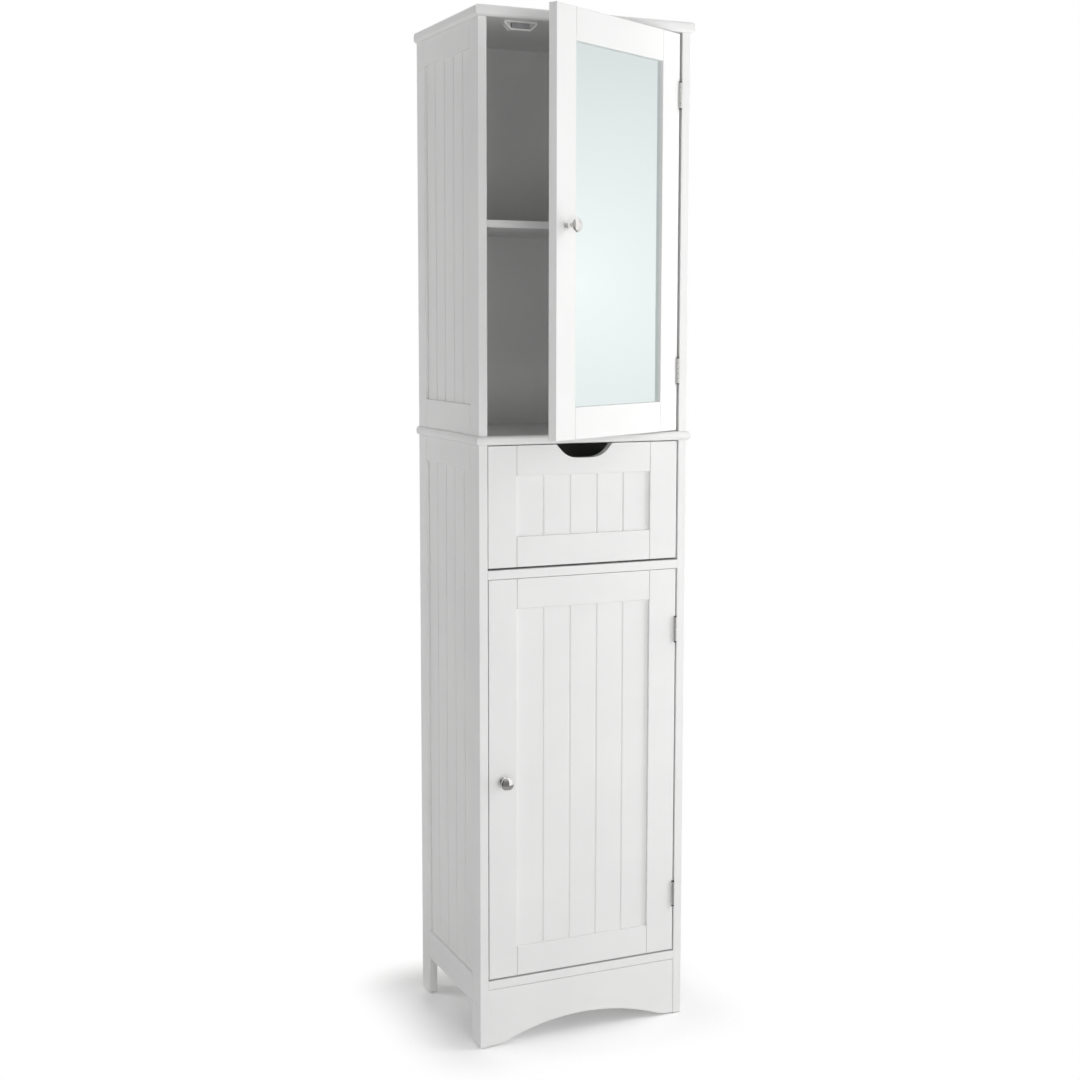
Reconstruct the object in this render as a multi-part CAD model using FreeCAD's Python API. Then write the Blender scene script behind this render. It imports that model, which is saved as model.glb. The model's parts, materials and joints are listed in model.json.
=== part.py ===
"""A white painted column cabinet in two storeys, as separate pieces.

Millimetres, +Z up. The front faces -Y. The origin lies on the floor, under the middle of the body.
The lower storey has a door and a drawer, and the upper storey has a framed mirror door that stands ajar.
"""
import FreeCAD
import Part
import math
import os

from FreeCAD import Placement, Rotation, Vector

# The whole cabinet
overall_height = 1700.0
body_width = 376.0
body_depth = 294.0
board_thickness = 15.0
top_board_thickness = 18.0
side_overhang = 5.0
front_overhang = 6.0
nose_radius = 6.0
edge_ease = 1.1

# Heights of the storeys
bottom_board_top = 115.0
waist_board_top = 1025.0
drawer_opening_height = 204.0

# Side frames and their grooved panels
side_stile_width = 38.0
side_top_rail_width = 43.0
side_bottom_rail_width = 49.0
lower_side_rail_underside = 68.0
panel_recess = 5.0
tongue_setback = 2.5
tongue_thickness = 5.0
tongue_length = 6.0
boards_per_panel = 5
groove_width = 4.4
groove_depth = 2.2
joint_groove_width = 1.6
joint_groove_depth = 2.0

# Doors and drawer front
front_thickness = 15.0
front_stile_width = 50.0
front_rail_width = 50.0
front_gap = 1.8
free_side_gap = 1.3
hinge_gap = 2.8
lower_door_lift = 1.2
drawer_top_gap = 1.4
drawer_bottom_gap = 3.5
drawer_left_gap = 0.9
drawer_right_gap = 3.1
door_ajar_angle = 30.0
scoop_width = 102.0
scoop_depth = 23.0
scoop_slope = 48.0
scoop_bottom_radius = 40.0

# Mirror in the upper door
mirror_recess = 6.0
mirror_thickness = 3.0
mirror_rebate = 8.0
mirror_clearance = 0.4

# Apron under the bottom board
apron_setback = 0.8
apron_joint_height = 0.8
apron_joint_depth = 5.0
arch_foot_width = 8.0
arch_rise = 31.0
arch_crown_share = 0.85

# Back panels
back_thickness = 3.0
back_setback = 8.0
back_groove_depth = 5.0

# Shelves and their pins
shelf_thickness = 12.0
shelf_clearance = 0.8
shelf_setback = 10.0
upper_shelf_top = 1370.0
lower_shelf_top = 460.0
shelf_pin_radius = 2.5
shelf_pin_hole_depth = 9.0
shelf_pin_tab_length = 8.0
shelf_pin_tab_width = 10.0
shelf_pin_tab_height = 7.0

# Foot glides
glide_height = 2.0
glide_radius = 6.0
glide_nail_radius = 1.0
glide_nail_length = 12.0

# Butt hinges
hinge_length = 42.0
upper_hinge_end_distance = 100.0
lower_hinge_end_distance = 103.0
barrel_radius = 2.5
barrel_stand_off = 0.4
barrel_shift = 2.6
knuckle_count = 5
knuckle_play = 0.6
hinge_pin_radius = 1.2
hinge_pin_head_height = 1.4
running_clearance = 0.05
leaf_thickness = 1.0
leaf_setback = 2.0
leaf_screw_spread = 24.0

# Screws
screw_head_radius = 2.6
screw_shank_radius = 1.3
screw_tip_cover = 4.0
knob_screw_radius = 2.0
knob_screw_head_radius = 4.0
knob_screw_head_height = 2.4
knob_screw_grip = 9.0

# Knobs
knob_projection = 26.0
knob_base_radius = 7.5
knob_neck_radius = 4.6
knob_head_radius = 11.5
knob_base_height_share = 0.09
knob_neck_height_share = 0.36
knob_rim_height_share = 0.78
knob_hollow_share = 0.12
knob_rim_rounding = 1.5

# Magnetic catches and strike plates
catch_distance = 65.0
catch_width = 56.0
catch_foot_width = 34.0
catch_side_height = 4.0
catch_height = 14.0
catch_depth = 14.0
catch_wall = 2.5
catch_pocket_depth = 6.5
catch_screw_spread = 44.0
catch_screw_land = 3.0
catch_screw_grip = 9.0
catch_screw_head_height = 2.0
catch_screw_room = 0.6
magnet_width = 30.0
magnet_height = 8.6
magnet_stand_out = 0.8
catch_air_gap = 0.3
strike_width = 34.0
strike_height = 8.0
strike_thickness = 1.2
strike_screw_spread = 22.0
strike_screw_length = 9.0

# Drawer box and its runners
drawer_rear_room = 29.0
drawer_side_thickness = 12.0
drawer_side_height = 120.0
drawer_bottom_thickness = 4.0
drawer_bottom_lift = 10.0
drawer_groove_depth = 5.0
runner_space = 13.0
runner_gauge = 1.5
runner_height = 30.0
runner_lift = 12.0
runner_rear_hold = 15.0
slide_clearance = 0.3

# Cuts run past the solid by this much
overrun = 1.0

# Places worked out from the sizes above
half_width = body_width / 2
front_y = -body_depth / 2
rear_y = body_depth / 2
inner_x = half_width - board_thickness
inner_width = 2 * inner_x
door_back_y = front_y + front_thickness
back_inner_y = rear_y - back_setback - back_thickness
top_underside = overall_height - top_board_thickness
waist_underside = waist_board_top - board_thickness
divider_top = waist_underside - drawer_opening_height
divider_underside = divider_top - board_thickness
bottom_underside = bottom_board_top - board_thickness
axis_x = inner_x - hinge_gap / 2 - barrel_shift
axis_y = front_y - barrel_radius - barrel_stand_off
doorways = {"upper": (waist_board_top, top_underside), "lower": (bottom_board_top, divider_underside)}
hinge_end_distances = {"upper": upper_hinge_end_distance, "lower": lower_hinge_end_distance}
door_right_x = inner_x - hinge_gap
door_width = inner_width - hinge_gap - free_side_gap
catch_x = -inner_x + catch_distance
catch_front_y = door_back_y + strike_thickness + catch_air_gap + magnet_stand_out

X_AXIS = Vector(1, 0, 0)
Y_AXIS = Vector(0, 1, 0)
Z_AXIS = Vector(0, 0, 1)
FRONT_AXES = Rotation(-X_AXIS, Z_AXIS, Y_AXIS, "XYZ")
LEFT_AXES = Rotation(Y_AXIS, Z_AXIS, X_AXIS, "XYZ")
RIGHT_AXES = Rotation(-Y_AXIS, Z_AXIS, -X_AXIS, "XYZ")

nodes = {}


def block(x, y, z):
    """A block given by its low and high side along each axis."""
    return Part.makeBox(x[1] - x[0], y[1] - y[0], z[1] - z[0], Vector(x[0], y[0], z[0]))


def rod(radius, start, end):
    """A round rod between two points."""
    along = end - start
    return Part.makeCylinder(radius, along.Length, start, along)


def cone(start_radius, end_radius, start, end):
    """A tapered round piece between two points."""
    along = end - start
    return Part.makeCone(start_radius, end_radius, along.Length, start, along)


def runs_along(edge, direction):
    """Whether a straight edge runs more along the direction than across it."""
    return abs(edge.tangentAt(edge.FirstParameter).dot(direction)) > math.cos(math.pi / 4)


def eased(solid, keep_sharp, radius=edge_ease):
    """Rounds the edges of a block a little, except those along the direction that stays sharp."""
    edges = [e for e in solid.Edges if not runs_along(e, keep_sharp)]
    return solid.makeFillet(radius, edges)


def placed(shape, axes, corner):
    """A piece moved from a frame's own axes into the cabinet."""
    moved = shape.copy()
    moved.Placement = Placement(corner, axes)
    return moved


def arc(start, middle, end):
    """An edge that is a circular arc through three points."""
    return Part.Arc(start, middle, end).toShape()


def line(start, end):
    """A straight edge."""
    return Part.LineSegment(start, end).toShape()


def bowed(start, end, bow):
    """An arc between two points of the XZ plane that bows to its left by the given height."""
    along = end - start
    side = Vector(-along.z, 0, along.x).normalize()
    return arc(start, (start + end) / 2 + side * bow, end)


def arc_about_axis(start, end):
    """An arc between two points of the XZ plane whose centre lies on the Z axis."""
    centre = (end.x ** 2 + end.z ** 2 - start.x ** 2 - start.z ** 2) / (2 * (end.z - start.z))
    radius = math.hypot(start.x, start.z - centre)
    angle = (math.atan2(start.z - centre, start.x) + math.atan2(end.z - centre, end.x)) / 2
    middle = Vector(radius * math.cos(angle), 0, centre + radius * math.sin(angle))
    return arc(start, middle, end)


def v_groove(middle, up, surface, width, depth):
    """What an upright V groove takes out of a face, round its middle line."""
    corners = [
        Vector(middle - width / 2, up[0], surface),
        Vector(middle, up[0], surface + depth),
        Vector(middle + width / 2, up[0], surface),
    ]
    return Part.Face(Part.makePolygon(corners + corners[:1])).extrude(Vector(0, up[1] - up[0], 0))


def frame_members(width, height, thickness, stile, top_rail, bottom_rail, leg, pocket):
    """Two stiles and two rails with a fine groove along each joint.

    x runs across, y up and z from the outer face inwards.
    """
    members = {
        "near_stile": block((0, stile), (-leg, height), (0, thickness)),
        "far_stile": block((width - stile, width), (-leg, height), (0, thickness)),
        "top_rail": block((stile, width - stile), (height - top_rail, height), (0, thickness)),
        "bottom_rail": block((stile, width - stile), (0, bottom_rail), (0, thickness)),
    }
    groove = (0, joint_groove_width, joint_groove_depth)
    spans = ((0, bottom_rail), (height - top_rail, height))
    cuts = [v_groove(joint, up, *groove) for joint in (stile, width - stile) for up in spans]
    cutter = Part.makeCompound([pocket, *cuts])
    return {name: eased(member, Z_AXIS).cut(cutter) for name, member in members.items()}


def tongue_slab(across, up):
    """The thin middle of a bead panel that reaches into the grooves of its frame."""
    front = panel_recess + tongue_setback
    return block(
        (across[0] - tongue_length, across[1] + tongue_length),
        (up[0] - tongue_length, up[1] + tongue_length),
        (front, front + tongue_thickness),
    )


def bead_panel(across, up, thickness):
    """A panel with upright V grooves that part it into boards, flush with the frame inside."""
    panel = block(across, up, (panel_recess, thickness)).fuse(tongue_slab(across, up))
    pitch = (across[1] - across[0]) / boards_per_panel
    for count in range(1, boards_per_panel):
        middle = across[0] + count * pitch
        panel = panel.cut(v_groove(middle, up, panel_recess, groove_width, groove_depth))
    return panel.removeSplitter()


def bead_frame(width, height, thickness, stile, top_rail, bottom_rail, leg=0):
    """A frame with a bead panel in it."""
    across = (stile, width - stile)
    up = (bottom_rail, height - top_rail)
    pocket = tongue_slab(across, up)
    pieces = frame_members(width, height, thickness, stile, top_rail, bottom_rail, leg, pocket)
    pieces["bead_panel"] = bead_panel(across, up, thickness)
    return pieces


def back_panel(low, high):
    """A thin panel that stands in grooves of the rear stiles."""
    reach = inner_x + back_groove_depth
    return block((-reach, reach), (back_inner_y, back_inner_y + back_thickness), (low, high))


def nosed_board(low, thickness):
    """A board that stands proud of the body at the front and the sides, with rounded edges there."""
    reach = half_width + side_overhang
    board = block((-reach, reach), (front_y - front_overhang, rear_y), (low, low + thickness))
    edges = []
    for edge in board.Edges:
        if edge.BoundBox.YMin < rear_y - overrun and not runs_along(edge, Z_AXIS):
            edges.append(edge)
    return board.makeFillet(nose_radius, edges)


def inner_board(top):
    """A board between the sides, its front edge flush with theirs."""
    board = block((-inner_x, inner_x), (front_y, back_inner_y), (top - board_thickness, top))
    edges = [e for e in board.Edges if e.BoundBox.YMax < front_y + overrun and e.BoundBox.XLength > overrun]
    return board.makeFillet(edge_ease, edges)


def front_apron():
    """The board under the bottom board, with a shadow groove there and an arch with reversed ends below."""
    apron_y = front_y + apron_setback
    half_span = inner_x - arch_foot_width
    radii_sum = (half_span ** 2 + arch_rise ** 2) / (2 * arch_rise)
    end_radius = radii_sum * (1 - arch_crown_share)
    turn_x = half_span * arch_crown_share
    turn_z = glide_height + arch_rise * (1 - arch_crown_share)
    half_turn = math.asin((half_span - turn_x) / end_radius) / 2
    swell_x = half_span - end_radius * math.sin(half_turn)
    swell_z = glide_height + end_radius * (1 - math.cos(half_turn))

    def at(x, z):
        return Vector(x, apron_y, z)

    edges = [
        line(at(-inner_x, bottom_underside), at(-inner_x, glide_height)),
        line(at(-inner_x, glide_height), at(-half_span, glide_height)),
        arc(at(-half_span, glide_height), at(-swell_x, swell_z), at(-turn_x, turn_z)),
        arc(at(-turn_x, turn_z), at(0, glide_height + arch_rise), at(turn_x, turn_z)),
        arc(at(turn_x, turn_z), at(swell_x, swell_z), at(half_span, glide_height)),
        line(at(half_span, glide_height), at(inner_x, glide_height)),
        line(at(inner_x, glide_height), at(inner_x, bottom_underside)),
        line(at(inner_x, bottom_underside), at(-inner_x, bottom_underside)),
    ]
    apron = Part.Face(Part.Wire(edges)).extrude(Vector(0, board_thickness, 0))
    apron = apron.cut(block(
        (-inner_x, inner_x),
        (apron_y, apron_y + apron_joint_depth),
        (bottom_underside - apron_joint_height, bottom_underside),
    ))
    front_edges = [e for e in apron.Edges if e.BoundBox.YMax < apron_y + overrun]
    return apron.makeFillet(edge_ease, front_edges)


def leg_places():
    """The middle of each leg's foot."""
    x = half_width - board_thickness / 2
    y = rear_y - side_stile_width / 2
    return [Vector(sx * x, sy * y, 0) for sx in (-1, 1) for sy in (-1, 1)]


def foot_glide(place):
    """A round pad with a nail that is driven into the leg."""
    top = place + Z_AXIS * glide_height
    return rod(glide_radius, place, top).fuse(rod(glide_nail_radius, top, top + Z_AXIS * glide_nail_length))


def nail_hole(place):
    """The hole that a glide's nail makes in its leg."""
    top = place + Z_AXIS * glide_height
    hole_end = top + Z_AXIS * (glide_nail_length + running_clearance)
    return rod(glide_nail_radius + running_clearance, top - Z_AXIS * overrun, hole_end)


def shelf_pin_places(shelf_top):
    """Where a shelf's four pins leave the sides, with the direction into the wood."""
    z = shelf_top - shelf_thickness - shelf_pin_tab_height / 2
    y = rear_y - side_stile_width + tongue_length + shelf_pin_tab_width / 2
    return [(Vector(s * inner_x, t * y, z), X_AXIS * s) for s in (-1, 1) for t in (-1, 1)]


def shelf_pin(place, inwards):
    """A pin in the side with a flat tab that carries the shelf."""
    pin = rod(shelf_pin_radius, place, place + inwards * (shelf_pin_hole_depth - running_clearance))
    x = sorted((place.x, place.x - inwards.x * shelf_pin_tab_length))
    half_wide = shelf_pin_tab_width / 2
    half_tall = shelf_pin_tab_height / 2
    tab = block(x, (place.y - half_wide, place.y + half_wide), (place.z - half_tall, place.z + half_tall))
    return pin.fuse(tab)


def shelf_pin_hole(place, inwards):
    """The blind hole for a shelf pin."""
    start = place - inwards * overrun
    return rod(shelf_pin_radius + running_clearance, start, place + inwards * shelf_pin_hole_depth)


def shelf(top):
    """A loose shelf, a little smaller than the space between the sides."""
    reach = inner_x - shelf_clearance
    depth = (door_back_y + shelf_setback, back_inner_y - shelf_clearance)
    return eased(block((-reach, reach), depth, (top - shelf_thickness, top)), Z_AXIS)


def hinge_leaf(height, moving):
    """A leaf with its knuckles and the straps that carry them, made for the closed door."""
    low = height - hinge_length / 2
    pitch = hinge_length / knuckle_count
    outer_x = door_right_x if moving else inner_x
    x = (outer_x, outer_x + leaf_thickness) if moving else (outer_x - leaf_thickness, outer_x)
    leaf = block(x, (front_y, door_back_y - leaf_setback), (low, low + hinge_length))
    strap_y = (axis_y + barrel_radius - leaf_thickness, axis_y + barrel_radius)
    for count in range(1 if moving else 0, knuckle_count, 2):
        start = low + count * pitch + knuckle_play / 2
        end = start + pitch - knuckle_play
        knuckle = rod(barrel_radius, Vector(axis_x, axis_y, start), Vector(axis_x, axis_y, end))
        leaf = leaf.fuse(block(x, (strap_y[0], front_y), (start, end)))
        leaf = leaf.fuse(block((axis_x, x[1]), strap_y, (start, end))).fuse(knuckle)
    ends = Vector(axis_x, axis_y, low - overrun), Vector(axis_x, axis_y, low + hinge_length + overrun)
    leaf = leaf.cut(rod(hinge_pin_radius + running_clearance, *ends))
    for place, inwards in leaf_screw_places(height, moving):
        leaf = leaf.cut(screw_hole(place, inwards, screw_length()))
    return leaf.removeSplitter()


def hinge_pin(height):
    """A pin with a flat head at each end of the barrel."""
    half = hinge_length / 2
    low = Vector(axis_x, axis_y, height - half)
    high = Vector(axis_x, axis_y, height + half)
    pin = rod(hinge_pin_radius, low, high)
    head = Z_AXIS * hinge_pin_head_height
    return pin.fuse(rod(barrel_radius, low - head, low)).fuse(rod(barrel_radius, high, high + head))


def leaf_screw_places(height, moving):
    """Where the screws of a leaf start, with the direction into the wood."""
    x = door_right_x + leaf_thickness if moving else inner_x - leaf_thickness
    inwards = -X_AXIS if moving else X_AXIS
    y = (front_y + door_back_y - leaf_setback) / 2
    heights = (height - leaf_screw_spread / 2, height + leaf_screw_spread / 2)
    return [(Vector(x, y, z), inwards) for z in heights]


def screw_length():
    """A hinge screw is as long as the board allows."""
    return leaf_thickness + board_thickness - screw_tip_cover


def screw(place, inwards, length, head_height=leaf_thickness):
    """A countersunk screw, its head flush with the face that it starts from."""
    under_head = place + inwards * head_height
    head = cone(screw_head_radius, screw_shank_radius, place, under_head)
    return head.fuse(rod(screw_shank_radius, under_head, place + inwards * length))


def screw_hole(place, inwards, length, head_height=leaf_thickness):
    """The hole for a screw, a little larger all round."""
    spare = running_clearance
    under_head = place + inwards * head_height
    head = cone(screw_head_radius + spare, screw_shank_radius + spare, place, under_head)
    return head.fuse(rod(screw_shank_radius + spare, under_head, place + inwards * (length + spare)))


def knob(place):
    """A turned knob with a blind hole for its screw, standing on the face of a closed door."""
    def at(radius, height_share):
        return Vector(radius, 0, knob_projection * height_share)

    base_top = at(knob_base_radius, knob_base_height_share)
    neck = at(knob_neck_radius, knob_neck_height_share)
    rim = at(knob_head_radius, knob_rim_height_share)
    crown = at(0, 1)
    profile = [
        line(at(0, 0), at(knob_base_radius, 0)),
        line(at(knob_base_radius, 0), base_top),
        bowed(base_top, neck, knob_hollow_share * knob_base_radius),
        arc_about_axis(neck, rim),
        arc_about_axis(rim, crown),
        line(crown, at(0, 0)),
    ]
    solid = Part.Face(Part.Wire(profile)).revolve(Vector(), Z_AXIS, 360)
    above_neck = [e for e in solid.Edges if e.BoundBox.ZMin > neck.z + overrun]
    rims = [e for e in above_neck if e.BoundBox.XLength > knob_head_radius]
    solid = solid.makeFillet(knob_rim_rounding, rims)
    solid = solid.cut(rod(knob_screw_radius + running_clearance, -Z_AXIS * overrun, Z_AXIS * knob_screw_grip))
    return placed(solid, Rotation(Z_AXIS, -Y_AXIS), place)


def knob_screw(place):
    """A pan head screw through the stile into the knob."""
    inside = Vector(place.x, door_back_y, place.z)
    grip = place - Y_AXIS * (knob_screw_grip - running_clearance)
    return rod(knob_screw_radius, grip, inside).fuse(
        rod(knob_screw_head_radius, inside, inside + Y_AXIS * knob_screw_head_height)
    )


def knob_screw_hole(place):
    """The hole through the stile for a knob's screw."""
    start = place - Y_AXIS * overrun
    end = Vector(place.x, door_back_y + overrun, place.z)
    return rod(knob_screw_radius + running_clearance, start, end)


def strike_place(ceiling):
    """The middle of a strike plate on the inner face of the closed door."""
    return Vector(catch_x, door_back_y, ceiling - catch_height / 2)


def strike_plate(ceiling):
    """A steel plate that the magnet holds."""
    middle = strike_place(ceiling)
    half_wide = strike_width / 2
    half_tall = strike_height / 2
    plate = block(
        (middle.x - half_wide, middle.x + half_wide),
        (middle.y, middle.y + strike_thickness),
        (middle.z - half_tall, middle.z + half_tall),
    )
    for place in strike_screw_places(ceiling):
        plate = plate.cut(screw_hole(place, -Y_AXIS, strike_screw_length, strike_thickness))
    return plate


def strike_screw_places(ceiling):
    """The two screws of a strike plate start flush with its face."""
    middle = strike_place(ceiling) + Y_AXIS * strike_thickness
    return [middle + X_AXIS * (side * strike_screw_spread / 2) for side in (-1, 1)]


def magnet_box(ceiling):
    """The magnet on the floor of a catch's pocket, a little proud of the housing towards the strike plate."""
    middle = ceiling - catch_height / 2
    half_wide = magnet_width / 2
    half_tall = magnet_height / 2
    return block(
        (catch_x - half_wide, catch_x + half_wide),
        (catch_front_y - magnet_stand_out, catch_front_y + catch_pocket_depth),
        (middle - half_tall, middle + half_tall),
    )


def catch_screw_places(ceiling):
    """Where the two screws of a catch meet the board above it."""
    y = catch_front_y + (catch_pocket_depth + catch_depth) / 2
    return [Vector(catch_x + side * catch_screw_spread / 2, y, ceiling) for side in (-1, 1)]


def catch_screw(place):
    """A pan head screw that holds a catch's housing up against the board."""
    seat = place - Z_AXIS * catch_screw_land
    head = rod(screw_head_radius, seat - Z_AXIS * catch_screw_head_height, seat)
    return head.fuse(rod(screw_shank_radius, seat, place + Z_AXIS * catch_screw_grip))


def catch_screw_hole(place):
    """The hole for a catch's screw, through the housing and into the board."""
    spare = running_clearance
    end = place + Z_AXIS * (catch_screw_grip + spare)
    return rod(screw_shank_radius + spare, place - Z_AXIS * (catch_screw_land + overrun), end)


def catch_housing(ceiling):
    """A moulded block under a board, with a pocket for the magnet and wells for its screws."""
    half_side = catch_width / 2
    half_foot = catch_foot_width / 2
    outline = [
        (-half_side, 0),
        (half_side, 0),
        (half_side, -catch_side_height),
        (half_foot, -catch_height),
        (-half_foot, -catch_height),
        (-half_side, -catch_side_height),
    ]
    corners = [Vector(catch_x + across, catch_front_y, ceiling + up) for across, up in outline]
    face = Part.Face(Part.makePolygon(corners + corners[:1]))
    pocket = face.makeOffset2D(-catch_wall, 2).extrude(Y_AXIS * catch_pocket_depth)
    housing = face.extrude(Y_AXIS * catch_depth).cut(pocket)
    for place in catch_screw_places(ceiling):
        seat = place - Z_AXIS * catch_screw_land
        well = rod(screw_head_radius + catch_screw_room, seat - Z_AXIS * catch_height, seat)
        housing = housing.cut(well).cut(catch_screw_hole(place))
    return housing


def with_catch_holes(board, ceiling):
    """A board with the holes for the screws of the catch under it."""
    for place in catch_screw_places(ceiling):
        board = board.cut(catch_screw_hole(place))
    return board


def build_boards():
    """Top, waist, divider and bottom boards, apron, backs and shelves."""
    nodes["top_panel"] = with_catch_holes(nosed_board(top_underside, top_board_thickness), top_underside)
    nodes["waist_panel"] = nosed_board(waist_underside, board_thickness)
    nodes["divider_panel"] = with_catch_holes(inner_board(divider_top), divider_underside)
    nodes["bottom_panel"] = inner_board(bottom_board_top)
    nodes["front_apron"] = front_apron()
    nodes["upper_back_panel"] = back_panel(waist_board_top, top_underside)
    nodes["lower_back_panel"] = back_panel(bottom_underside, waist_underside)
    nodes["upper_shelf"] = shelf(upper_shelf_top)
    nodes["lower_shelf"] = shelf(lower_shelf_top)
    pins = shelf_pin_places(upper_shelf_top) + shelf_pin_places(lower_shelf_top)
    nodes["shelf_pins"] = Part.makeCompound([shelf_pin(*pin) for pin in pins])
    nodes["foot_glides"] = Part.makeCompound([foot_glide(place) for place in leg_places()])


def build_sides():
    """Four side frames. The lower stiles run on to the floor as legs."""
    lower_low = lower_side_rail_underside
    leg_length = lower_low - glide_height
    storeys = {
        "upper": (waist_board_top, top_underside - waist_board_top, 0, upper_shelf_top),
        "lower": (lower_low, waist_underside - lower_low, leg_length, lower_shelf_top),
    }
    for storey, (low, height, leg, shelf_top) in storeys.items():
        sizes = (body_depth, height, board_thickness, side_stile_width)
        frame = bead_frame(*sizes, side_top_rail_width, side_bottom_rail_width, leg)
        cuts = [shelf_pin_hole(*pin) for pin in shelf_pin_places(shelf_top)]
        cuts += [nail_hole(place) for place in leg_places()]
        cuts += [nodes[storey + "_back_panel"]]
        for height_of_hinge in door_hinges(storey):
            for place, inwards in leaf_screw_places(height_of_hinge, False):
                cuts.append(screw_hole(place, inwards, screw_length()))
        cutter = Part.makeCompound(cuts)
        sides = {
            "left": (LEFT_AXES, Vector(-half_width, front_y, low), "front_stile", "rear_stile"),
            "right": (RIGHT_AXES, Vector(half_width, rear_y, low), "rear_stile", "front_stile"),
        }
        for side, (axes, corner, near, far) in sides.items():
            name = storey + "_" + side + "_side_"
            nodes[name + near] = placed(frame["near_stile"], axes, corner).cut(cutter)
            nodes[name + far] = placed(frame["far_stile"], axes, corner).cut(cutter)
            rails = [placed(frame[rail], axes, corner) for rail in ("top_rail", "bottom_rail")]
            nodes[name + "rails"] = Part.makeCompound(rails)
            nodes[name + "bead_panel"] = placed(frame["bead_panel"], axes, corner)


def door_hinges(storey):
    """The middle of each of the two hinges of a storey's door."""
    low, high = doorways[storey]
    inset = front_gap + hinge_end_distances[storey]
    return (low + inset, high - inset)


def build_fixed_hardware():
    """Hinge leaves, pins and screws on the cabinet, catches and drawer runners."""
    heights = door_hinges("upper") + door_hinges("lower")
    nodes["hinge_fixed_leaves"] = Part.makeCompound([hinge_leaf(z, False) for z in heights])
    nodes["hinge_pins"] = Part.makeCompound([hinge_pin(z) for z in heights])
    places = [place for z in heights for place in leaf_screw_places(z, False)]
    screws = [screw(place, inwards, screw_length()) for place, inwards in places]
    ceilings = (top_underside, divider_underside)
    screws += [catch_screw(place) for ceiling in ceilings for place in catch_screw_places(ceiling)]
    nodes["cabinet_screws"] = Part.makeCompound(screws)
    nodes["catch_housings"] = Part.makeCompound([catch_housing(ceiling) for ceiling in ceilings])
    nodes["catch_magnets"] = Part.makeCompound([magnet_box(ceiling) for ceiling in ceilings])
    nodes["drawer_runners"] = Part.makeCompound([drawer_runner(side) for side in (-1, 1)])


def mirror_slab(across, up, low, high, spare):
    """A slab behind the opening of the mirror door, as large as the rebate less the spare."""
    reach = mirror_rebate - spare
    return block((across[0] - reach, across[1] + reach), (up[0] - reach, up[1] + reach), (low, high))


def mirror_frame(width, height):
    """The upper door: a frame rebated at the back for the mirror and its backing board."""
    across = (front_stile_width, width - front_stile_width)
    up = (front_rail_width, height - front_rail_width)
    mirror_back = mirror_recess + mirror_thickness
    pocket = mirror_slab(across, up, mirror_recess, front_thickness + overrun, 0)
    stile_and_rails = (front_stile_width, front_rail_width, front_rail_width)
    pieces = frame_members(width, height, front_thickness, *stile_and_rails, 0, pocket)
    pieces["mirror"] = mirror_slab(across, up, mirror_recess, mirror_back, mirror_clearance)
    pieces["mirror_backing"] = mirror_slab(across, up, mirror_back, front_thickness, mirror_clearance)
    return pieces


def build_door(storey, frame, lift, angle):
    """A door, lifted off the middle of its opening, with its hardware, turned on its hinges."""
    low, high = doorways[storey]
    corner = Vector(door_right_x, front_y, low + front_gap + lift)
    pieces = {name: placed(piece, FRONT_AXES, corner) for name, piece in frame.items()}
    middle = (low + high) / 2 + lift
    knob_place = Vector(door_right_x - door_width + front_stile_width / 2, front_y, middle)
    hinges = door_hinges(storey)
    leaf_screws = [place for z in hinges for place in leaf_screw_places(z, True)]
    strike_screws = strike_screw_places(high)
    leaf_holes = [screw_hole(place, inwards, screw_length()) for place, inwards in leaf_screws]
    strike_depth = (strike_screw_length, strike_thickness)
    strike_holes = [screw_hole(place, -Y_AXIS, *strike_depth) for place in strike_screws]
    hinge_stile = pieces.pop("near_stile").cut(Part.makeCompound(leaf_holes))
    free_stile = pieces.pop("far_stile").cut(knob_screw_hole(knob_place))
    pieces["top_rail"] = pieces["top_rail"].cut(Part.makeCompound(strike_holes))
    pieces["hinge_stile"] = hinge_stile
    pieces["free_stile"] = free_stile
    pieces["knob"] = knob(knob_place)
    pieces["strike_plate"] = strike_plate(high)
    pieces["hinge_leaves"] = Part.makeCompound([hinge_leaf(z, True) for z in hinges])
    screws = [screw(place, inwards, screw_length()) for place, inwards in leaf_screws]
    screws += [screw(place, -Y_AXIS, *strike_depth) for place in strike_screws]
    pieces["screws"] = Part.makeCompound(screws + [knob_screw(knob_place)])
    for name, piece in pieces.items():
        piece.rotate(Vector(axis_x, axis_y, 0), Z_AXIS, angle)
        nodes[storey + "_door_" + name] = piece


def scoop_cut(width, height):
    """The finger scoop in the upper edge of the drawer front, in the frame's own axes."""
    run = 1 / math.tan(math.radians(scoop_slope))
    top = height + overrun
    floor = height - scoop_depth
    top_reach = scoop_width / 2 + overrun * run
    floor_reach = scoop_width / 2 - scoop_depth * run
    corners = [
        Vector(width / 2 - top_reach, top, -overrun),
        Vector(width / 2 - floor_reach, floor, -overrun),
        Vector(width / 2 + floor_reach, floor, -overrun),
        Vector(width / 2 + top_reach, top, -overrun),
    ]
    cut = Part.Face(Part.makePolygon(corners + corners[:1])).extrude(Z_AXIS * (front_thickness + 2 * overrun))
    bends = [e for e in cut.Edges if e.BoundBox.YMax < floor + overrun and runs_along(e, Z_AXIS)]
    return cut.makeFillet(scoop_bottom_radius, bends)


def drawer_side_x(side):
    """The low and high side of a drawer side board."""
    outer = inner_x - runner_space
    return sorted((side * outer, side * (outer - drawer_side_thickness)))


def drawer_floor():
    """The underside of the drawer sides, just above the runners."""
    return divider_top + runner_lift + runner_gauge + slide_clearance


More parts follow.
